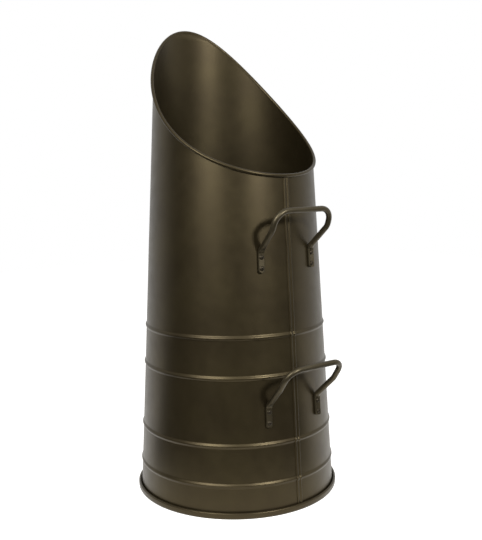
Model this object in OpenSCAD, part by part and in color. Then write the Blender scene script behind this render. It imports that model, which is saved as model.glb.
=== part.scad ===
// Tall sheet-steel hearth bucket with a slanted, swept mouth and two riveted carrying handles.
// Origin at the middle of the base on the floor, +Z up. The handles are on the low side, towards -Y.
// The tall pouring lip is on the other side, towards +Y.

/* [Body] */
// Outside diameter of the body where its slope meets the floor
base_d = 221.5; // [200:0.5:260]
// Outside diameter of the body at the height of the lip
lip_d = 163; // [140:1:190]
// Height of the middle of the rim at the lip
lip_h = 519; // [460:1:560]
// Height of the middle of the rim at the low side, above the handles
low_h = 353.5; // [340:0.5:400]
// Radius of the level cylinder that the mouth follows, seen from the side
mouth_sweep_r = 365; // [300:5:500]
// Thickness of the sheet that the body and the base are made from
sheet_t = 0.8; // [0.6:0.1:1]

/* [Rim] */
// Diameter of the wire inside the rolled rim
wire_d = 2; // [1.6:0.1:3]
// Gap between the wire and the sheet rolled round it
wire_room = 0.1; // [0.05:0.05:0.2]

/* [Ribs] */
// Height of the middle of the lowest rib
first_rib_h = 34.5; // [25:0.5:50]
// Distance between the two ribs of a pair
rib_pitch = 41.8; // [25:0.1:60]
// Distance from the lower pair of ribs to the upper pair
rib_pair_step = 112.4; // [90:0.1:130]
// Width of a rib
rib_w = 7; // [4:0.5:10]
// How far a rib stands out of the body
rib_out = 1.2; // [0.6:0.1:2]

/* [Side seam] */
// Width of the folded seam up the low side
seam_w = 7; // [5:0.5:10]
// How far the seam stands out of the body
seam_out = 1.1; // [0.6:0.1:1.6]
// Width of the channel along the middle of the seam
channel_w = 2.2; // [1:0.1:4]
// Depth of that channel
channel_depth = 0.5; // [0.2:0.1:0.5]

/* [Base] */
// Height of the folded ring that joins the base to the body
ring_h = 7.5; // [6:0.5:12]
// Gap between the layers of sheet in that ring
fold_room = 0.4; // [0.2:0.05:0.6]
// Outside radius of the bend from the flat of the base up into the ring
ring_bend_r = 2.8; // [2.4:0.1:3]

/* [Handles] */
// Diameter of the round bar
bar_d = 6; // [5:0.1:7]
// Distance between the middles of a handle's two feet
foot_spacing = 67; // [50:1:90]
// Width of the flattened foot
foot_w = 7; // [6.5:0.5:11]
// Thickness of the flattened foot
foot_t = 3; // [2:0.1:4]
// Length of the foot below the point where the bar leaves the body
foot_len = 22.5; // [22:0.5:32]
// Distance between the corners of the grip
grip_w = 74; // [64:1:90]
// Radius of the bar's middle line round those corners
corner_r = 15; // [8:0.5:15]
// Radius of the bar's middle line round the knee of a leg
knee_r = 12; // [8:1:20]
// Height where the upper handle's bar leaves the body
upper_bend_h = 278; // [250:0.5:290]
// Height where the lower handle's bar leaves the body
lower_bend_h = 117.5; // [110:0.5:150]
// Distance of a leg's knee out from the point where the bar leaves the body
knee_out = 23; // [16:0.5:28]
// Height of the knee above that point
knee_up = 22.5; // [12:0.5:24]
// Distance of the upper grip's middle from the body's face
upper_reach = 26; // [22:0.5:36]
// Rise of the upper grip above the point where its bar leaves the body
upper_rise = 41.5; // [40:0.5:50]
// Distance of the lower grip's middle from the body's face
lower_reach = 34; // [26:0.5:44]
// Rise of the lower grip above the point where its bar leaves the body
lower_rise = 44; // [40:0.5:50]
// Gap between a foot and the body
foot_room = 0.1; // [0.05:0.05:0.2]

/* [Rivets] */
// Diameter of a rivet's shank
rivet_d = 3; // [2.4:0.1:3.4]
// Diameter of a rivet's domed head
rivet_head_d = 5.4; // [4.6:0.1:6.4]
// Height of that head
rivet_head_h = 1.3; // [0.8:0.1:1.8]
// Distance between the two rivets of a foot
rivet_pitch = 11.5; // [8:0.5:14]
// Distance of the top rivet below the point where the bar leaves the body
rivet_drop = 6.5; // [5:0.5:8]
// Gap all round a shank in its hole
rivet_room = 0.05; // [0.02:0.01:0.1]
// Diameter of the tail that the setting tool bulges out inside the body
tail_d = 4.4; // [3.8:0.1:5.5]
// Length of that tail
tail_len = 3; // [2:0.1:4]
// Diameter of the broken setting pin left in the rivet
pin_d = 1.4; // [1.2:0.1:1.6]
// Diameter of the pin's head, against the end of the tail
pin_head_d = 2.6; // [2:0.1:3]
// Height of the pin's head
pin_head_h = 1.2; // [0.8:0.1:1.6]
// Depth of the pin's broken end below the top of the rivet's head
pin_sunk = 0.9; // [0.5:0.1:1.2]

/* [Hidden] */
$fn = 96;

// Steps round the rim, and round its curl
rim_steps = 72;
curl_steps = 11;

// Slope of the body
taper = (base_d - lip_d) / 2 / lip_h;
wall_slope = atan(taper);
function wall_r(h) = base_d / 2 - taper * h;

// The rim: its section, the mouth's cylinder and the middle line of the wire
half_t = sheet_t / 2;
hollow_r = wire_d / 2 + wire_room;
curl_r = hollow_r + sheet_t;
function rim_r(h) = wall_r(h) + hollow_r / cos(wall_slope);
low_y = -rim_r(low_h);
lip_y = rim_r(lip_h);
mouth_chord = norm([lip_y - low_y, lip_h - low_h]);
mouth_drop = sqrt(mouth_sweep_r * mouth_sweep_r - mouth_chord * mouth_chord / 4);
mouth_y = (low_y + lip_y) / 2 - mouth_drop * (lip_h - low_h) / mouth_chord;
mouth_z = (low_h + lip_h) / 2 + mouth_drop * (lip_y - low_y) / mouth_chord;
function mouth_h(y) = mouth_z - sqrt(mouth_sweep_r * mouth_sweep_r - (y - mouth_y) * (y - mouth_y));
function rim_h(azimuth, h, rounds = 8) =
    rounds == 0 ? h : rim_h(azimuth, mouth_h(rim_r(h) * sin(azimuth)), rounds - 1);
function rim_point(azimuth) =
    let (h = rim_h(azimuth, (low_h + lip_h) / 2))
    [rim_r(h) * cos(azimuth), rim_r(h) * sin(azimuth), h];

// Angle of the curl's free edge, under the wire, from the outward direction
curl_edge = -110;
// The curl's root narrows to half the sheet between two distances below the wire's middle.
// It then enters the body's upper edge, and ends inside the sheet.
root_h = 0.9;
narrow_h = 1.2;
edge_h = 2.2;
root_len = 5;

// Layers of the base ring, from the body outwards: body, lip of the base, flange of the body, base
layer = sheet_t + fold_room;
turn_h = sheet_t + fold_room / 4 + half_t + layer;
ring_top = ring_h - layer - half_t;
turn_r = wall_r(turn_h) - half_t / cos(wall_slope);
ring_r = turn_r + 3 * layer + half_t;

// Height of each rib's middle
rib_heights = [for (pair = [0, 1], one = [0, 1]) first_rib_h + pair * rib_pair_step + one * rib_pitch];
// Steps across a rib
rib_steps = 8;

// Feet and rivets: azimuth of a foot, and distances out of the body's face
function foot_azimuth(h) = asin(foot_spacing / 2 / (wall_r(h) + foot_room + foot_t / 2));
foot_face = foot_room + foot_t;
hole_d = rivet_d + 2 * rivet_room;
pin_bore_d = pin_d + 2 * rivet_room;
tail_gap = 0.05;
// Length of the neck between the flat foot and the round bar, and its step inside both
neck_len = 7.3;
neck_step = 0.1;
// A bend of the bar is swollen this much by bending, the straight bar runs this far into it, and at least
// this much of the leg stays straight between two bends
bend_swell = 0.04;
bend_lap = 0.3;
straight_min = 1;
front = -90;

SIDES = ["left", "right"];
LEVELS = ["top", "bottom"];

steel_paint = [0.23, 0.21, 0.16];
bare_steel = [0.55, 0.54, 0.52];

// Points along an arc
function arc(centre, r, from, to, steps = 12) =
    [for (i = [0 : steps]) centre + r * [cos(from + (to - from) * i / steps), sin(from + (to - from) * i / steps)]];

// Outline of a sheet of even thickness along a line of points, mitred at each bend
function heading(a, b) = (b - a) / norm(b - a);
function mitre(before, after) =
    let (n1 = [-before.y, before.x], n2 = [-after.y, after.x])
    (n1 + n2) / (1 + n1 * n2);
function side_of_sheet(line, offset) =
    let (last = len(line) - 1)
    [for (i = [0 : last])
        let (before = heading(line[max(i - 1, 0)], line[max(i, 1)]),
             after = heading(line[min(i, last - 1)], line[min(i + 1, last)]))
        line[i] + offset * mitre(before, after)];
function reversed(list) = [for (i = [len(list) - 1 : -1 : 0]) list[i]];
module sheet_outline(line) {
    polygon(concat(side_of_sheet(line, half_t), reversed(side_of_sheet(line, -half_t))));
}

// The body's middle line, from the flange in the base ring up to above the mouth
function wall_line_point(h, out = 0) = [wall_r(h) - half_t / cos(wall_slope) + out, h];
body_line = concat(
    [[turn_r + 2 * layer, ring_top + fold_room / 2]],
    arc([turn_r + layer, turn_h], layer, 0, -180),
    [for (h = rib_heights, i = [-rib_steps / 2 : rib_steps / 2])
        wall_line_point(h + rib_w * i / rib_steps, rib_out * (1 + cos(360 * i / rib_steps)) / 2)],
    [wall_line_point(lip_h + 2 * curl_r)]
);

// The base's middle line, from its middle out to the bend, up, over the flange and down behind it
base_line = concat(
    [[0, half_t]],
    arc([ring_r - ring_bend_r, ring_bend_r], ring_bend_r - half_t, -90, 0, 6),
    arc([turn_r + 2 * layer, ring_top], layer, 0, 180),
    [[turn_r + layer, turn_h]]
);

// Places children on the body's outer face: +X level, counter-clockwise, +Y up the slope, +Z outwards
module at_wall(azimuth, h) {
    rotate([0, 0, azimuth])
        translate([wall_r(h), 0, h])
            rotate([0, -wall_slope, 0])
                rotate([90, 0, 90])
                    children();
}

// Points of a section at one azimuth of the rim, from [out, up] distances off the middle of the wire
function at_rim(azimuth, section) =
    let (along = heading(rim_point(azimuth - 1), rim_point(azimuth + 1)),
         out = [cos(azimuth) * cos(wall_slope), sin(azimuth) * cos(wall_slope), sin(wall_slope)],
         up = cross(out, along))
    [for (p = section) rim_point(azimuth) + p.x * out + p.y * up];
module rim_sweep(section) {
    n = len(section);
    polyhedron(
        points = [for (step = [0 : rim_steps - 1]) each at_rim(360 * step / rim_steps, section)],
        faces = [for (step = [0 : rim_steps - 1], i = [0 : n - 1])
            let (next = (step + 1) % rim_steps, j = (i + 1) % n)
            each [[step * n + i, next * n + j, next * n + i], [step * n + i, step * n + j, next * n + j]]],
        convexity = 6
    );
}
curl_line = concat(arc([0, 0], hollow_r + half_t, curl_edge, 180, curl_steps), [[-hollow_r - half_t, -root_h]]);
curl_section = concat(
    reversed(side_of_sheet(curl_line, half_t)),
    side_of_sheet(curl_line, -half_t),
    [for (p = [[3, narrow_h], [3, root_len], [1, root_len], [1, narrow_h]]) [-hollow_r - half_t * p.x / 2, -p.y]]
);
wire_section = [for (i = [0 : 7]) wire_d / 2 * [cos(45 * i), sin(45 * i)]];

// The level cylinder that takes the mouth out of the body: it passes through the body's upper edge
// at the low side, at one flank and at the lip
function circle_middle(a, b, c) =
    let (ab = b - a, ac = c - a)
    a + [ac.y * ab * ab - ab.y * ac * ac, ab.x * ac * ac - ac.x * ab * ab] / (2 * cross(ab, ac));
edge_points = [for (azimuth = [-90, 0, 90])
    let (p = at_rim(azimuth, [[-hollow_r - half_t, -edge_h]])[0]) [p.y, p.z]];
edge_middle = circle_middle(edge_points[0], edge_points[1], edge_points[2]);
module mouth_cut() {
    translate([0, edge_middle.x, edge_middle.y])
        rotate([0, 90, 0])
            cylinder(r = norm(edge_points[0] - edge_middle), h = 2 * base_d, center = true, $fn = 4 * $fn);
}

// Section of the side seam: two rounded ridges with a channel between them
module seam_section() {
    edge = (seam_w - channel_w) / 2;
    difference() {
        union() {
            translate([-seam_w / 2, -half_t]) square([seam_w, half_t + seam_out - channel_depth]);
            for (side = [-1, 1])
                translate([side * (seam_w - edge) / 2 - edge / 2 + channel_depth, 0])
                    square([edge - 2 * channel_depth, seam_out]);
            for (side = [-1, 1], end = [-1, 1])
                translate([side * (seam_w - edge) / 2 + end * (edge / 2 - channel_depth), seam_out - channel_depth])
                    circle(r = channel_depth);
        }
        translate([-seam_w, -3 * half_t]) square([2 * seam_w, 2 * half_t]);
    }
}

module side_seam() {
    top = low_h - 1.5 * curl_r;
    bottom = ring_h + fold_room;
    at_wall(front, top)
        rotate([90, 0, 0])
            linear_extrude(height = (top - bottom) / cos(wall_slope))
                seam_section();
}

// Holes through the body or a foot, or the rivets themselves, at one foot
module at_rivet(bend_h, side, level) {
    h = bend_h - rivet_drop - level * rivet_pitch;
    at_wall(front + side * foot_azimuth(bend_h), h) children();
}
module rivet_holes(bend_h) {
    for (side = [-1, 1], level = [0, 1])
        at_rivet(bend_h, side, level)
            cylinder(d = hole_d, h = 4 * foot_face, center = true);
}

module body_shell() {
    color(steel_paint)
        difference() {
            union() {
                difference() {
                    rotate_extrude() sheet_outline(body_line);
                    mouth_cut();
                }
                rim_sweep(curl_section);
                side_seam();
            }
            rivet_holes(upper_bend_h);
            rivet_holes(lower_bend_h);
        }
}

module rim_wire() {
    color(bare_steel) rim_sweep(wire_section);
}

module base_plate() {
    color(steel_paint) rotate_extrude() sheet_outline(base_line);
}

// Round bend of the bar: starts at its own origin along +Z and bends towards +X
module bar_bend(angle, r) {
    translate([r, 0, 0])
        rotate([90, 0, 0])
            rotate_extrude(angle = -angle, start = 180)
                translate([r, 0])
                    circle(d = bar_d + bend_swell);
}

// Turns children so that their +Z lies along one direction and their +X towards another
module along(p, z_dir, x_towards) {
    y_dir = cross(z_dir, x_towards) / norm(cross(z_dir, x_towards));
    x_dir = cross(y_dir, z_dir);
    multmatrix([
        [x_dir.x, y_dir.x, z_dir.x, p.x],
        [x_dir.y, y_dir.y, z_dir.y, p.y],
        [x_dir.z, y_dir.z, z_dir.z, p.z],
        [0, 0, 0, 1]
    ]) children();
}

// A flattened foot lying on the body, its top end rounded about the point where the bar leaves
module foot(azimuth, bend_h) {
    at_wall(azimuth, bend_h)
        translate([0, 0, foot_room])
            linear_extrude(height = foot_t)
                union() {
                    circle(d = foot_w);
                    translate([-foot_w / 2, foot_w / 4 - foot_len]) square([foot_w, foot_len - foot_w / 4]);
                    translate([-foot_w / 4, -foot_len]) square([foot_w / 2, foot_len]);
                    for (side = [-1, 1])
                        translate([side * foot_w / 4, foot_w / 4 - foot_len]) circle(d = foot_w / 2);
                }
}

// Half of the bar's middle line before its bends are rounded: foot, knee, corner and middle of the grip
function bar_line(bend_h, reach, rise, side) =
    let (azimuth = foot_azimuth(bend_h), r = wall_r(bend_h) + (foot_room + foot_t / 2) / cos(wall_slope))
    let (leg_x = side * grip_w / 2, root_y = -r * cos(azimuth), grip_y = -wall_r(bend_h) - reach)
    [
        [side * r * sin(azimuth), root_y, bend_h],
        [leg_x, root_y - knee_out, bend_h + knee_up],
        [leg_x, grip_y, bend_h + rise],
        [0, grip_y, bend_h + rise]
    ];
function bend_angle(line, i) = acos(heading(line[i - 1], line[i]) * heading(line[i], line[i + 1]));
// How far from its sharp point each bend starts; the corner keeps straight_min of straight leg above the knee
function knee_cut(line) = knee_r * tan(bend_angle(line, 1) / 2);
function corner_cut(line) =
    min(corner_r * tan(bend_angle(line, 2) / 2), norm(line[2] - line[1]) - knee_cut(line) - straight_min);
function cut_back(line, i) = i == 1 ? knee_cut(line) : corner_cut(line);

module handle(bend_h, reach, rise) {
    for (side = [-1, 1]) {
        azimuth = front + side * foot_azimuth(bend_h);
        line = bar_line(bend_h, reach, rise, side);
        leg_dir = heading(line[0], line[1]);
        foot(azimuth, bend_h);
        hull() {
            at_wall(azimuth, bend_h)
                translate([0, 0, foot_room + neck_step])
                    cylinder(d = foot_w - 2 * neck_step, h = foot_t - 2 * neck_step, $fn = 32);
            along(line[0] + neck_len * leg_dir, leg_dir, [-side, 0, 0])
                cylinder(d = bar_d - 2 * neck_step, h = neck_len / 4, $fn = 32);
        }
        for (i = [0, 1]) {
            dir = heading(line[i], line[i + 1]);
            from = i == 0 ? neck_len : cut_back(line, i) - bend_lap;
            to = norm(line[i + 1] - line[i]) - cut_back(line, i + 1) + bend_lap;
            along(line[i] + from * dir, dir, [-side, 0, 0])
                cylinder(d = bar_d, h = to - from);
        }
        for (i = [1, 2])
            along(line[i] - cut_back(line, i) * heading(line[i - 1], line[i]),
                heading(line[i - 1], line[i]), heading(line[i], line[i + 1]))
                bar_bend(bend_angle(line, i), cut_back(line, i) / tan(bend_angle(line, i) / 2));
    }
    line = bar_line(bend_h, reach, rise, 1);
    translate(line[3])
        rotate([0, 90, 0])
            cylinder(d = bar_d, h = 2 * (line[2].x - cut_back(line, 2) + bend_lap), center = true);
}

module upper_handle() {
    color(steel_paint)
        difference() {
            handle(upper_bend_h, upper_reach, upper_rise);
            rivet_holes(upper_bend_h);
        }
}

module lower_handle() {
    color(steel_paint)
        difference() {
            handle(lower_bend_h, lower_reach, lower_rise);
            rivet_holes(lower_bend_h);
        }
}

// A set blind rivet: domed head with a hole, shank, and bulged tail inside the body
module rivet() {
    dome_r = (rivet_head_d * rivet_head_d / 4 + rivet_head_h * rivet_head_h) / 2 / rivet_head_h;
    tail_top = -sheet_t - tail_gap;
    color(steel_paint)
        difference() {
            union() {
                translate([0, 0, foot_face])
                    intersection() {
                        cylinder(d = rivet_head_d, h = rivet_head_h);
                        translate([0, 0, rivet_head_h - dome_r]) sphere(r = dome_r);
                    }
                translate([0, 0, tail_top - tail_len]) cylinder(d = rivet_d, h = tail_len - tail_top + foot_face);
                translate([0, 0, tail_top - tail_len]) cylinder(d1 = rivet_d, d2 = tail_d, h = tail_len / 2);
                translate([0, 0, tail_top - tail_len / 2]) cylinder(d = tail_d, h = tail_len / 2);
            }
            cylinder(d = pin_bore_d, h = 8 * foot_face, center = true);
        }
}

// The stub of the setting pin: a stem in the rivet's bore and a head against the end of its tail
module rivet_pin() {
    tail_end = -sheet_t - tail_gap - tail_len;
    color(bare_steel) {
        translate([0, 0, tail_end]) cylinder(d = pin_d, h = foot_face + rivet_head_h - pin_sunk - tail_end);
        translate([0, 0, tail_end - pin_head_h]) cylinder(d1 = pin_d, d2 = pin_head_d, h = pin_head_h);
    }
}

body_shell();
rim_wire();
base_plate();
upper_handle();
lower_handle();
for (handle = ["upper", "lower"], side = [0, 1], level = [0, 1]) {
    name = str(handle, "_", SIDES[side], "_", LEVELS[level]);
    bend_h = handle == "upper" ? upper_bend_h : lower_bend_h;
    at_rivet(bend_h, 2 * side - 1, level) rivet();
    at_rivet(bend_h, 2 * side - 1, level) rivet_pin();
}
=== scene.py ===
"""A tall sheet-steel hearth bucket with a slanted mouth and two riveted handles, drawn over its solids."""

from math import asin, atan, atan2, cos, hypot, pi, radians, sin, sqrt, tan

import bmesh
import bpy
from mathutils import Matrix, Vector


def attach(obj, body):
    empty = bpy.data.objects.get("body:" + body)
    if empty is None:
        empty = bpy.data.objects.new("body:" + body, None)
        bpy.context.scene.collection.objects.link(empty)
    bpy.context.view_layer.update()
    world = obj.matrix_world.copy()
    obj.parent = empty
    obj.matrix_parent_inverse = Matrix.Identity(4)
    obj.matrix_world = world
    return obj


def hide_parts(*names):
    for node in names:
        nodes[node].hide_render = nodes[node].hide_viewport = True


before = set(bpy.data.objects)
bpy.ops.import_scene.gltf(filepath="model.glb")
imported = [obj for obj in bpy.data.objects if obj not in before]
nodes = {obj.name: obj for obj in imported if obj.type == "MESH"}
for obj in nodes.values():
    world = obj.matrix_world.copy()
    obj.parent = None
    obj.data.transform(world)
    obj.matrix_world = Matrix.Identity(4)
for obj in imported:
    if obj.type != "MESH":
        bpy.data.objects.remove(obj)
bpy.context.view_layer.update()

MM = 0.001

# Sizes in mm, the same as the solids have
BASE_D, LIP_D = 221.5, 163
LIP_H, LOW_H, SWEEP_R = 519, 353.5, 365
TAPER = (BASE_D - LIP_D) / 2 / LIP_H
SLOPE = atan(TAPER)
SHEET = 0.8
HALF = SHEET / 2
WIRE_HOLLOW = 1.1
# The solids' curves have flats, so the outermost curves are this much smaller and stay within them
INSET = 0.04
CURL_R = WIRE_HOLLOW + SHEET - INSET
# Depth of the curl's root inside the body's sheet
ROOT_H = 2.4
RIBS = [34.5, 76.3, 146.9, 188.7]
RIB_W, RIB_OUT = 7, 1.2
RIB_STEPS = 14
# Height over a rib's middle of the plain section before the next rib
PAST_RIB = 21
RING_H, FOLD_ROOM, RING_BEND = 7.5, 0.4, 2.8
LAYER = SHEET + FOLD_ROOM
BAR = 6
FOOT_W, FOOT_T, FOOT_LEN, FOOT_ROOM, FOOT_SPACING = 7, 3, 22.5, 0.1, 67
GRIP_W, CORNER_R, KNEE_R, KNEE_OUT, KNEE_UP, STRAIGHT_MIN = 74, 15, 12, 23, 22.5, 1


# The bucket's body, mouth and wire line, in mm


def wall_r(h):
    """Outside radius of the body at a height."""
    return BASE_D / 2 - TAPER * h


def rim_r(h):
    """Radius of the wire's middle line at a height."""
    return wall_r(h) + WIRE_HOLLOW / cos(SLOPE)


def mouth_middle():
    """Middle (y, z) of the level cylinder that the mouth follows."""
    low, lip = Vector((-rim_r(LOW_H), LOW_H)), Vector((rim_r(LIP_H), LIP_H))
    chord = lip - low
    drop = sqrt(SWEEP_R**2 - chord.length_squared / 4)
    return (low + lip) / 2 + Vector((-chord.y, chord.x)).normalized() * drop


MOUTH = mouth_middle()


def rim_point(azimuth):
    """Point of the wire's middle line at an azimuth in radians."""
    # The radius depends on the height that is looked for, so the height is found by repeating
    h = (LOW_H + LIP_H) / 2
    for _ in range(8):
        h = MOUTH.y - sqrt(SWEEP_R**2 - (rim_r(h) * sin(azimuth) - MOUTH.x) ** 2)
    return Vector((rim_r(h) * cos(azimuth), rim_r(h) * sin(azimuth), h))


def at_rim(azimuth, out, up):
    """Point off the wire's middle line: out of the body, and up its face square to the rim."""
    along = (rim_point(azimuth + 0.01) - rim_point(azimuth - 0.01)).normalized()
    outward = Vector((cos(azimuth) * cos(SLOPE), sin(azimuth) * cos(SLOPE), sin(SLOPE)))
    return rim_point(azimuth) + out * outward + up * outward.cross(along)


def arc(middle, r, start, end, steps):
    """Points of an arc in a flat section, angles in degrees."""
    turns = [radians(start + (end - start) * i / steps) for i in range(steps + 1)]
    return [(middle[0] + r * cos(a), middle[1] + r * sin(a)) for a in turns]


# Tools for modelling by hand, and the pieces


def start(add_primitive, **settings):
    """Adds a primitive with nothing else selected and opens it for editing."""
    bpy.ops.object.select_all(action="DESELECT")
    add_primitive(**settings)
    bpy.ops.object.mode_set(mode="EDIT")
    return bpy.context.object


def done(piece, name):
    """Ends the editing of a piece, names it and puts its origin at the frame's."""
    if piece.mode == "EDIT":
        bpy.ops.object.mode_set(mode="OBJECT")
    bpy.ops.object.transform_apply(location=True, rotation=True, scale=True)
    piece.name = piece.data.name = name
    return piece


def draw_line(points):
    """Draws a chain of edges through points, from a plane merged to one corner, and leaves it open."""
    line = start(bpy.ops.mesh.primitive_plane_add, size=MM)
    bpy.ops.mesh.merge(type="CENTER")
    places = [Vector(p) * MM for p in points]
    bpy.ops.transform.translate(value=places[0])
    for last, place in zip(places, places[1:]):
        bpy.ops.mesh.extrude_vertices_move(TRANSFORM_OT_translate={"value": place - last})
    return line


def spin_round(steps):
    """Spins what is drawn once round the bucket and joins the ends."""
    bpy.ops.mesh.select_all(action="SELECT")
    bpy.ops.mesh.spin(steps=steps, angle=2 * pi, center=(0, 0, 0), axis=(0, 0, 1))
    bpy.ops.mesh.select_all(action="SELECT")
    bpy.ops.mesh.remove_doubles(threshold=0.01 * MM)
    bpy.ops.mesh.normals_make_consistent(inside=False)


def modify(piece, kind, **settings):
    """Adds a modifier and applies it."""
    modifier = piece.modifiers.new(kind.lower(), kind)
    for key, value in settings.items():
        setattr(modifier, key, value)
    bpy.context.view_layer.objects.active = piece
    bpy.ops.object.modifier_apply(modifier=modifier.name)


def smooth(piece, angle=35):
    """Shades a piece smooth, with edges kept where faces meet at more than an angle."""
    bpy.ops.object.select_all(action="DESELECT")
    piece.select_set(True)
    bpy.context.view_layer.objects.active = piece
    bpy.ops.object.shade_smooth_by_angle(angle=radians(angle))


def sheet_r(h, out=0):
    """Radius of the middle of the body's sheet at a height."""
    return wall_r(h) - HALF / cos(SLOPE) + out


def across_rib(h):
    """Heights across the rib at a height, each with how far the rib stands out there."""
    places = []
    for i in range(RIB_STEPS + 1):
        # A wave, and its power makes the crest narrow and the foot soft
        share = (1 - cos(2 * pi * i / RIB_STEPS)) / 2
        places.append((h + RIB_W * (i / RIB_STEPS - 0.5), RIB_OUT * share**1.5))
    return places


TURN_H = SHEET + FOLD_ROOM / 4 + HALF + LAYER
RING_TOP = RING_H - LAYER - HALF
TURN_R = sheet_r(TURN_H)


def body_profile():
    """Middle line of the body's sheet, from the flange folded into the base ring up past the lip."""
    line = [(TURN_R + 2 * LAYER, RING_TOP + FOLD_ROOM / 2)]
    line += arc((TURN_R + LAYER, TURN_H), LAYER, 0, -180, 12)
    for h in RIBS:
        line += [(sheet_r(up, out), up) for up, out in across_rib(h)]
        line.append((sheet_r(h + PAST_RIB), h + PAST_RIB))
    # Plain from over the ribs to past the lip
    line += [(sheet_r(h), h) for h in range(240, 541, 30)]
    return line


def middle_through(a, b, c):
    """Middle of the circle through three points."""
    ab, ac = b - a, c - a
    across = Vector((ac.y * ab.dot(ab) - ab.y * ac.dot(ac), ab.x * ac.dot(ac) - ac.x * ab.dot(ab)))
    return a + across / (2 * (ab.x * ac.y - ab.y * ac.x))


def make_body():
    """The body sheet: its profile spun round, given its thickness, and cut by the mouth."""
    body = draw_line([(r, 0, h) for r, h in body_profile()])
    spin_round(192)
    bpy.ops.object.mode_set(mode="OBJECT")
    modify(body, "SOLIDIFY", thickness=SHEET * MM, offset=0, use_even_offset=True)
    # The cut runs through the middle of the curl's root, at the low side, at a flank and at the lip
    edge = [at_rim(radians(a), -WIRE_HOLLOW - HALF, -ROOT_H / 2).yz for a in (-90, 0, 90)]
    middle = middle_through(*edge)
    cutter = start(
        bpy.ops.mesh.primitive_cylinder_add,
        vertices=360,
        radius=(edge[0] - middle).length * MM,
        depth=0.4,
        location=(0, middle.x * MM, middle.y * MM),
        rotation=(0, pi / 2, 0),
    )
    cutter = done(cutter, "cutter")
    modify(body, "BOOLEAN", operation="DIFFERENCE", object=cutter, solver="EXACT")
    bpy.data.objects.remove(cutter)
    smooth(body)
    return done(body, "body_sheet")


def make_curl():
    """The curled edge: its section is drawn and spun as a level ring, then laid along the mouth."""
    middle = WIRE_HOLLOW + HALF
    level_r = 90
    # The curl ends at this angle in degrees, and its root is this much thinner on each side than the curl
    end, thinner = -110, 0.02
    outside = arc((0, 0), CURL_R, end, 180, 58)
    root = [(-CURL_R + thinner, -0.1), (-CURL_R + thinner, -ROOT_H)]
    root += [(-WIRE_HOLLOW - thinner, -ROOT_H), (-WIRE_HOLLOW - thinner, -0.1)]
    inside = arc((0, 0), WIRE_HOLLOW, 180, end, 30)
    section = outside + root + inside[1:]
    edge = arc((middle * cos(radians(end)), middle * sin(radians(end))), HALF, end + 180, end, 4)[1:-1]
    curl = draw_line([(level_r + out, 0, up) for out, up in section + edge])
    bpy.ops.mesh.select_all(action="SELECT")
    bpy.ops.mesh.edge_face_add()
    bpy.ops.mesh.delete(type="ONLY_FACE")
    spin_round(288)
    bpy.ops.object.mode_set(mode="OBJECT")
    for corner in curl.data.vertices:
        x, y, z = corner.co / MM
        corner.co = at_rim(atan2(y, x), hypot(x, y) - level_r, z) * MM
    smooth(curl, 50)
    return done(curl, "rolled_rim")


def make_seam():
    """The folded seam up the low side: two rounded ridges, drawn up the body and pulled sideways."""
    # Heights from inside the ring to inside the curl, each with how far a rib lifts the seam there
    rows = [(RING_H - 0.6, 0), (12, 0)]
    for h in RIBS:
        rows += across_rib(h) + [(h + PAST_RIB, 0)]
    rows += [(h, 0) for h in (*range(240, 350, 20), LOW_H - CURL_R * 0.9)]
    # Place across the seam and height over the body's face: sunk edge, left ridge, channel, right ridge
    front = [(-3.6, -0.2), (-3.45, 0.35), (-3.2, 0.8), (-2.8, 1.05), (-2.2, 1.1), (-1.7, 1.0), (-1.35, 0.75)]
    front += [(-1.05, 0.5), (0, 0.42), (1.05, 0.5), (1.3, 0.75), (1.6, 1.0), (2.0, 1.08), (2.5, 1.02)]
    front += [(2.95, 0.8), (3.25, 0.35), (3.4, -0.2)]
    across = front + [(3.4, -0.5), (-3.6, -0.5), front[0]]
    seam = draw_line([(front[0][0], -wall_r(h) - out - front[0][1], h) for h, out in rows])
    bpy.ops.mesh.select_all(action="SELECT")
    # The seam bends round the body, whose radius is about this there
    body_r = 105
    for (x0, out0), (x1, out1) in zip(across, across[1:]):
        sag = (x1**2 - x0**2) / 2 / body_r
        move = Vector((x1 - x0, out0 - out1 + sag, 0)) * MM
        bpy.ops.mesh.extrude_region_move(TRANSFORM_OT_translate={"value": move})
    bpy.ops.mesh.select_all(action="SELECT")
    bpy.ops.mesh.remove_doubles(threshold=0.01 * MM)
    bpy.ops.mesh.select_all(action="DESELECT")
    bpy.ops.mesh.select_non_manifold()
    bpy.ops.mesh.edge_face_add()
    bpy.ops.mesh.select_all(action="SELECT")
    bpy.ops.mesh.normals_make_consistent(inside=False)
    bpy.ops.object.mode_set(mode="OBJECT")
    smooth(seam, 50)
    return done(seam, "side_seam")


def make_base():
    """The base: a disc whose edge is folded over the body's flange."""
    ring_r = TURN_R + 3 * LAYER + HALF - INSET
    fold_r = TURN_R + 2 * LAYER - INSET
    # The flat in two widths, the bend up, and the fold over the flange
    line = [(0, HALF), (60, HALF)]
    line += arc((ring_r - RING_BEND, RING_BEND), RING_BEND - HALF, -90, 0, 8)
    line += arc((fold_r, RING_TOP), LAYER, 0, 180, 12)
    line.append((fold_r - LAYER, TURN_H))
    base = draw_line([(r, 0, h) for r, h in line])
    spin_round(192)
    bpy.ops.object.mode_set(mode="OBJECT")
    modify(base, "SOLIDIFY", thickness=SHEET * MM, offset=0, use_even_offset=True)
    smooth(base)
    return done(base, "base_pan")


def pick(piece, wanted):
    """Selects in edit mode the corners whose numbers are wanted, and nothing else."""
    shape = bmesh.from_edit_mesh(piece.data)
    for corner in shape.verts:
        corner.select = corner.index in wanted
    shape.select_flush_mode()
    bmesh.update_edit_mesh(piece.data)


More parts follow.
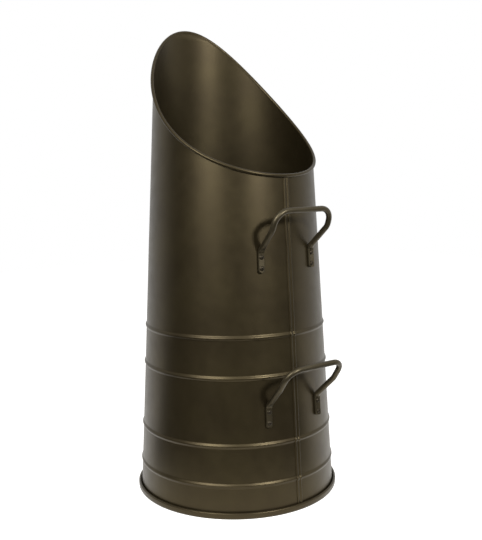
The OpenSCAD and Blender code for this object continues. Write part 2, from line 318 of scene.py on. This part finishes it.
def rounded(line, radii, steps=10):
    """Points of a line with its inner corners rounded."""
    points = [line[0]]
    for before, corner, after, r in zip(line, line[1:], line[2:], radii):
        ahead, onward = (corner - before).normalized(), (after - corner).normalized()
        turn = ahead.angle(onward)
        toward = (onward - ahead * ahead.dot(onward)).normalized()
        first = corner - ahead * r * tan(turn / 2)
        for i in range(steps + 1):
            a = turn * i / steps
            points.append(first + r * (ahead * sin(a) + toward * (1 - cos(a))))
    return points + [line[-1]]


def bar_line(bend_h, reach, rise):
    """Points of a handle's middle line, each with its distance past the bend, and the way across a foot."""
    azimuth = asin(FOOT_SPACING / 2 / (wall_r(bend_h) + FOOT_ROOM + FOOT_T / 2))
    bend_r = wall_r(bend_h) + (FOOT_ROOM + FOOT_T / 2) / cos(SLOPE)
    bend = Vector((bend_r * sin(azimuth), -bend_r * cos(azimuth), bend_h))
    up_wall = Vector((-sin(azimuth) * sin(SLOPE), cos(azimuth) * sin(SLOPE), cos(SLOPE)))
    across = Vector((cos(azimuth), sin(azimuth), 0))
    knee = Vector((GRIP_W / 2, bend.y - KNEE_OUT, bend_h + KNEE_UP))
    corner = Vector((GRIP_W / 2, -wall_r(bend_h) - reach, bend_h + rise))
    leg = (knee - bend).normalized()

    # Half of the line, from the foot's end. The bend takes this much on each side of its corner, and points
    # beyond the foot's neck count as this far past it
    cut, beyond = 4, 50
    along_foot = [d - FOOT_LEN for d in (0.1, 0.5, 1.2, 2.2, 3.5, 5.5, 11)] + [-8, -5]
    half = [(bend + up_wall * s, s) for s in along_foot]
    steps = 9
    for i in range(1, steps):
        t = i / steps
        half.append((bend - (1 - t) ** 2 * cut * up_wall + t**2 * cut * leg, 2 * cut * t - cut))
    half += [(bend + leg * s, s) for s in (4.5, 6, 7.5, 9, 12)]
    knee_cut = KNEE_R * tan(leg.angle(corner - knee) / 2)
    corner_r = min(CORNER_R, (corner - knee).length - knee_cut - STRAIGHT_MIN)
    bent = rounded([bend, knee, corner, Vector((0, corner.y, corner.z))], [KNEE_R, corner_r])
    half += [(p, beyond) for p in bent[1:-1]]
    return half + [(Vector((-p.x, p.y, p.z)), s) for p, s in reversed(half)], across


def squeeze(share, axes, middle):
    """Scales what is selected along the three axes, about a point."""
    bpy.ops.transform.resize(
        value=share,
        orient_type="GLOBAL",
        orient_matrix=axes,
        orient_matrix_type="GLOBAL",
        center_override=middle,
    )


def press_feet(bar, line, around, across):
    """Presses both feet wider and flat, one ring of corners after another, each with so many around."""
    # Flat up to the bend, then growing round over the neck
    neck = 9
    for i, (p, s) in enumerate(line):
        if s > neck:
            continue
        round_share = min(max(s / neck, 0), 1)
        round_share = round_share**2 * (3 - 2 * round_share)
        wide = (FOOT_W + (BAR - FOOT_W) * round_share) / BAR
        thick = FOOT_T + (BAR - FOOT_T) * round_share
        ahead = (line[min(i + 1, len(line) - 1)][0] - line[max(i - 1, 0)][0]).normalized()
        width = Vector((across.x * (1 if p.x > 0 else -1), across.y, 0))
        width = (width - ahead * width.dot(ahead)).normalized()
        depth = ahead.cross(width)
        axes = Matrix((width, depth, ahead))
        ring = set(range(i * around, (i + 1) * around))
        pick(bar, ring)
        squeeze((wide, 1, 1), axes, p * MM)
        for face in (-1, 1):
            flat = (p + depth * face * thick / 2) * MM
            shape = bmesh.from_edit_mesh(bar.data)
            shape.verts.ensure_lookup_table()
            proud = {n for n in ring if (shape.verts[n].co - flat).dot(depth) * face > 0}
            if proud:
                pick(bar, proud)
                squeeze((1, 0, 1), axes, flat)


def make_handle(name, bend_h, reach, rise):
    """A round bar bent at its foot, knee and corner, with both feet pressed flat as in a forge."""
    line, across = bar_line(bend_h, reach, rise)
    bar = draw_line([p for p, _ in line])
    bpy.ops.object.mode_set(mode="OBJECT")
    bpy.ops.object.convert(target="CURVE")
    bar = bpy.context.object
    bar.data.dimensions = "3D"
    bar.data.fill_mode = "FULL"
    bar.data.bevel_depth = BAR / 2 * MM
    bar.data.bevel_resolution = 12
    # Each foot's end is rounded, but squarer than a half circle
    for point, (_, s) in zip(bar.data.splines[0].points, line):
        from_end = (s + FOOT_LEN) / (FOOT_W / 2)
        point.radius = (1 - (1 - min(from_end, 1)) ** 4) ** 0.25
    bpy.ops.object.convert(target="MESH")
    bpy.ops.object.mode_set(mode="EDIT")
    around = len(bar.data.vertices) // len(line)
    press_feet(bar, line, around, across)
    for end in (0, len(line) - 1):
        pick(bar, set(range(end * around, (end + 1) * around)))
        bpy.ops.mesh.edge_face_add()
    bpy.ops.mesh.select_all(action="SELECT")
    bpy.ops.mesh.remove_doubles(threshold=0.005 * MM)
    bpy.ops.mesh.normals_make_consistent(inside=False)
    bpy.ops.object.mode_set(mode="OBJECT")
    smooth(bar, 40)
    return done(bar, name)


# Materials


def linear(code):
    """Linear colour of an sRGB hex code."""
    parts = [int(code[i : i + 2], 16) / 255 for i in (1, 3, 5)]
    return [p / 12.92 if p <= 0.04045 else ((p + 0.055) / 1.055) ** 2.4 for p in parts] + [1]


def add(tree, kind, settings=(), links=()):
    """Adds a node with its settings (a property, or a socket by name or number) and the links into it."""
    node = tree.nodes.new(kind)
    for key, value in dict(settings).items():
        if isinstance(key, str) and hasattr(node, key):
            setattr(node, key, value)
        else:
            node.inputs[key].default_value = value
    for key, source in dict(links).items():
        tree.links.new(source, node.inputs[key])
    return node


def new_material(name):
    """A material with an empty node tree and its output."""
    material = bpy.data.materials.new(name)
    material.use_nodes = True
    tree = material.node_tree
    tree.nodes.clear()
    return material, tree, add(tree, "ShaderNodeOutputMaterial")


def seen_share(tree):
    """1 for the rays by which the camera, metal and glass see the background, else 0."""
    ray = add(tree, "ShaderNodeLightPath").outputs
    share = ray["Is Camera Ray"]
    for kind in ("Is Glossy Ray", "Is Transmission Ray"):
        either = add(tree, "ShaderNodeMath", {"operation": "MAXIMUM"}, {0: share, 1: ray[kind]})
        share = either.outputs["Value"]
    return share


def wear(material, *pieces):
    """Gives pieces a material all over."""
    for piece in pieces:
        piece.data.materials.clear()
        piece.data.materials.append(material)


def bronze_powder_coat(name, dark, light, roughness, peel):
    """Satin powder coat on steel. It was sprayed and baked, so it has a soft sheen over a faint orange peel,
    its tone drifts a little, and it is a little shinier in patches where hands have rubbed it."""
    material, tree, out = new_material(name)
    place = add(tree, "ShaderNodeTexCoord").outputs["Object"]
    # Film thickness drifts over 30 to 60 mm
    drift = add(tree, "ShaderNodeTexNoise", {"Scale": 24, "Detail": 3}, {"Vector": place})
    tone = add(tree, "ShaderNodeValToRGB", {}, {"Fac": drift.outputs["Fac"]})
    tone.color_ramp.elements[0].position = 0.35
    tone.color_ramp.elements[0].color = linear(dark)
    tone.color_ramp.elements[1].position = 0.65
    tone.color_ramp.elements[1].color = linear(light)
    # Orange peel is about 1 mm across, drawn at 2.5 mm so that it shows
    orange_peel = add(tree, "ShaderNodeTexNoise", {"Scale": 400, "Detail": 2}, {"Vector": place})
    bumpy = {"Strength": peel, "Distance": 0.0002}
    bump = add(tree, "ShaderNodeBump", bumpy, {"Height": orange_peel.outputs["Fac"]})
    # Handling leaves duller and shinier patches 5 to 15 mm across
    patches = add(tree, "ShaderNodeTexNoise", {"Scale": 90, "Detail": 4}, {"Vector": place})
    between = {"From Min": 0.3, "From Max": 0.7, "To Min": roughness - 0.02, "To Max": roughness + 0.03}
    gloss = add(tree, "ShaderNodeMapRange", between, {"Value": patches.outputs["Fac"]})
    looks = {"Base Color": tone.outputs["Color"], "Roughness": gloss.outputs["Result"]}
    looks["Normal"] = bump.outputs["Normal"]
    paint = add(tree, "ShaderNodeBsdfPrincipled", {"Metallic": 0.8}, looks)
    tree.links.new(paint.outputs["BSDF"], out.inputs["Surface"])
    return material


def drawn_steel(name, dark, light, roughness):
    """Plain steel wire, pulled through a die: a grey metal with fine scratches and a dull, stained skin."""
    material, tree, out = new_material(name)
    place = add(tree, "ShaderNodeTexCoord").outputs["Object"]
    # Stains are about 3 mm across, and duller where they are lighter
    stains = add(tree, "ShaderNodeTexNoise", {"Scale": 300, "Detail": 3}, {"Vector": place})
    tone = add(tree, "ShaderNodeValToRGB", {}, {"Fac": stains.outputs["Fac"]})
    tone.color_ramp.elements[0].position = 0.3
    tone.color_ramp.elements[0].color = linear(dark)
    tone.color_ramp.elements[1].position = 0.7
    tone.color_ramp.elements[1].color = linear(light)
    between = {"To Min": roughness - 0.1, "To Max": roughness + 0.1}
    gloss = add(tree, "ShaderNodeMapRange", between, {"Value": stains.outputs["Fac"]})
    # Die scratches are finer than 0.1 mm, drawn at 0.5 mm so that they show
    scratches = add(tree, "ShaderNodeTexNoise", {"Scale": 2000, "Detail": 2}, {"Vector": place})
    bumpy = {"Strength": 0.15, "Distance": 0.0001}
    bump = add(tree, "ShaderNodeBump", bumpy, {"Height": scratches.outputs["Fac"]})
    looks = {"Base Color": tone.outputs["Color"], "Roughness": gloss.outputs["Result"]}
    looks["Normal"] = bump.outputs["Normal"]
    steel = add(tree, "ShaderNodeBsdfPrincipled", {"Metallic": 1}, looks)
    tree.links.new(steel.outputs["BSDF"], out.inputs["Surface"])
    return material


# The bucket

body = make_body()
curl = make_curl()
seam = make_seam()
base = make_base()
upper = make_handle("upper_handle_bar", 278, 26, 41.5)
lower = make_handle("lower_handle_bar", 117.5, 34, 44)

for piece in (body, curl, seam):
    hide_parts("body_shell")
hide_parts("base_plate")
for piece, node in ((upper, "upper_handle"), (lower, "lower_handle")):
    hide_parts(node)
for piece in (body, curl, seam, base, upper, lower):
    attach(piece, "root")

rivets = [piece for name, piece in nodes.items() if name.endswith("_rivet")]
pins = [piece for name, piece in nodes.items() if name.endswith("_pin")]
sheet_coat = bronze_powder_coat("bronze_powder_coat_on_sheet", "#352D1C", "#3B3320", 0.4, 0.12)
# The bars have the sheet's coat, here painted lighter than it as painted light for the light the round bars
# catch
bar_coat_painted_lighter = bronze_powder_coat("bronze_powder_coat_on_bar_painted_lighter", "#3F3828", "#474030", 0.42, 0.08)
# The rivets have the sheet's coat, here painted darker than it as painted shade on the small heads
rivet_coat_painted_darker = bronze_powder_coat("bronze_powder_coat_on_rivets_painted_darker", "#2B2519", "#322B1F", 0.5, 0.05)
wear(sheet_coat, body, curl, seam, base)
wear(bar_coat_painted_lighter, upper, lower)
wear(rivet_coat_painted_darker, *rivets)
wear(drawn_steel("drawn_steel_wire", "#5E5A54", "#8A8782", 0.4), nodes["rim_wire"])
# The pins' steel is painted nearly black, as painted shade in the rivets' holes
wear(drawn_steel("cut_steel_pin", "#23211E", "#35322D", 0.5), *pins)

# Room, light and camera


def lay_floor():
    """A pale floor that the camera, metal and glass see as almost white, with the bucket's shadow on it."""
    floor = done(start(bpy.ops.mesh.primitive_plane_add, size=4), "floor")
    material, tree, out = new_material("pale_floor")
    matt = add(tree, "ShaderNodeBsdfDiffuse", {"Color": linear("#D8D6D2")}).outputs["BSDF"]
    # Strong enough that no edge shows between floor and backdrop
    white = add(tree, "ShaderNodeEmission", {"Color": linear("#FFFFFF"), "Strength": 0.85})
    both = add(tree, "ShaderNodeAddShader", {}, {0: matt, 1: white.outputs["Emission"]}).outputs["Shader"]
    mix = add(tree, "ShaderNodeMixShader", {}, {"Fac": seen_share(tree), 1: matt, 2: both})
    tree.links.new(mix.outputs["Shader"], out.inputs["Surface"])
    wear(material, floor)


def light_room():
    """A world that is seen as white and gives the bucket a low, even light."""
    world = bpy.context.scene.world or bpy.data.worlds.new("studio")
    bpy.context.scene.world = world
    world.use_nodes = True
    tree = world.node_tree
    tree.nodes.clear()
    colour = linear("#FFFFFF")
    room = add(tree, "ShaderNodeBackground", {"Color": colour, "Strength": 0.25}).outputs["Background"]
    backdrop = add(tree, "ShaderNodeBackground", {"Color": colour, "Strength": 1}).outputs["Background"]
    mix = add(tree, "ShaderNodeMixShader", {}, {"Fac": seen_share(tree), 1: room, 2: backdrop})
    add(tree, "ShaderNodeOutputWorld", {}, {"Surface": mix.outputs["Shader"]})


def lamp(name, azimuth, elevation, size, strength):
    """A soft square lamp facing the bucket's middle, placed by azimuth and elevation in degrees. Its size is
    in metres and its strength in watts."""
    distance, middle = 1.8, Vector((0, 0, 0.25))
    a, e = radians(azimuth), radians(elevation)
    away = Vector((cos(a) * cos(e), sin(a) * cos(e), sin(e)))
    bpy.ops.object.light_add(type="AREA", location=middle + away * distance)
    light = bpy.context.object
    light.name = light.data.name = name
    light.rotation_euler = away.to_track_quat("Z", "Y").to_euler()
    light.data.size = size
    light.data.energy = strength


def hang_curtain():
    """A dark curtain behind the camera, which also lies on the floor in front of the bucket. It only shows
    in the paint's sheen, where it makes the dark bands."""
    # It is drawn at one side in mm and spun half round the bucket
    near, far, low, high = 215, 1950, 1, 2400
    profile = [(near, low), (far, low), (far, high / 2), (far, high)]
    a = radians(-45)
    curtain = draw_line([(r * cos(a), r * sin(a), h) for r, h in profile])
    bpy.ops.mesh.select_all(action="SELECT")
    bpy.ops.mesh.spin(steps=24, angle=radians(178), center=(0, 0, 0), axis=(0, 0, 1))
    curtain = done(curtain, "dark_curtain")
    curtain.visible_camera = False
    curtain.visible_diffuse = False
    curtain.visible_shadow = False
    material, tree, out = new_material("black_cloth")
    cloth = add(tree, "ShaderNodeBsdfDiffuse", {"Color": linear("#1A1A1A")})
    tree.links.new(cloth.outputs["BSDF"], out.inputs["Surface"])
    wear(material, curtain)


def place_camera():
    """The camera stands 0.92 m away, 37 degrees round from the low side, and looks 7.45 degrees down."""
    stand = (-0.5535, -0.7346, 0.3669)
    heading, dip, roll = radians(52.5), radians(7.45), radians(-0.88)
    forward = Vector((cos(heading) * cos(dip), sin(heading) * cos(dip), -sin(dip)))
    level = Vector((sin(heading), -cos(heading), 0))
    above = level.cross(forward)
    right = cos(roll) * level + sin(roll) * above
    above = cos(roll) * above - sin(roll) * level
    bpy.ops.object.camera_add()
    camera = bpy.context.object
    turn = Matrix((right, above, -forward)).transposed().to_4x4()
    camera.matrix_world = Matrix.Translation(stand) @ turn
    camera.data.lens = 54.505
    camera.data.clip_start = 0.01
    bpy.context.scene.camera = camera


lay_floor()
light_room()
lamp("key_softbox", -91, 24, 0.2, 31)
lamp("left_softbox", -158, 28, 0.8, 36)
lamp("right_fill", -60, 28, 0.5, 1.5)
hang_curtain()
place_camera()
bpy.context.scene.view_settings.view_transform = "Standard"
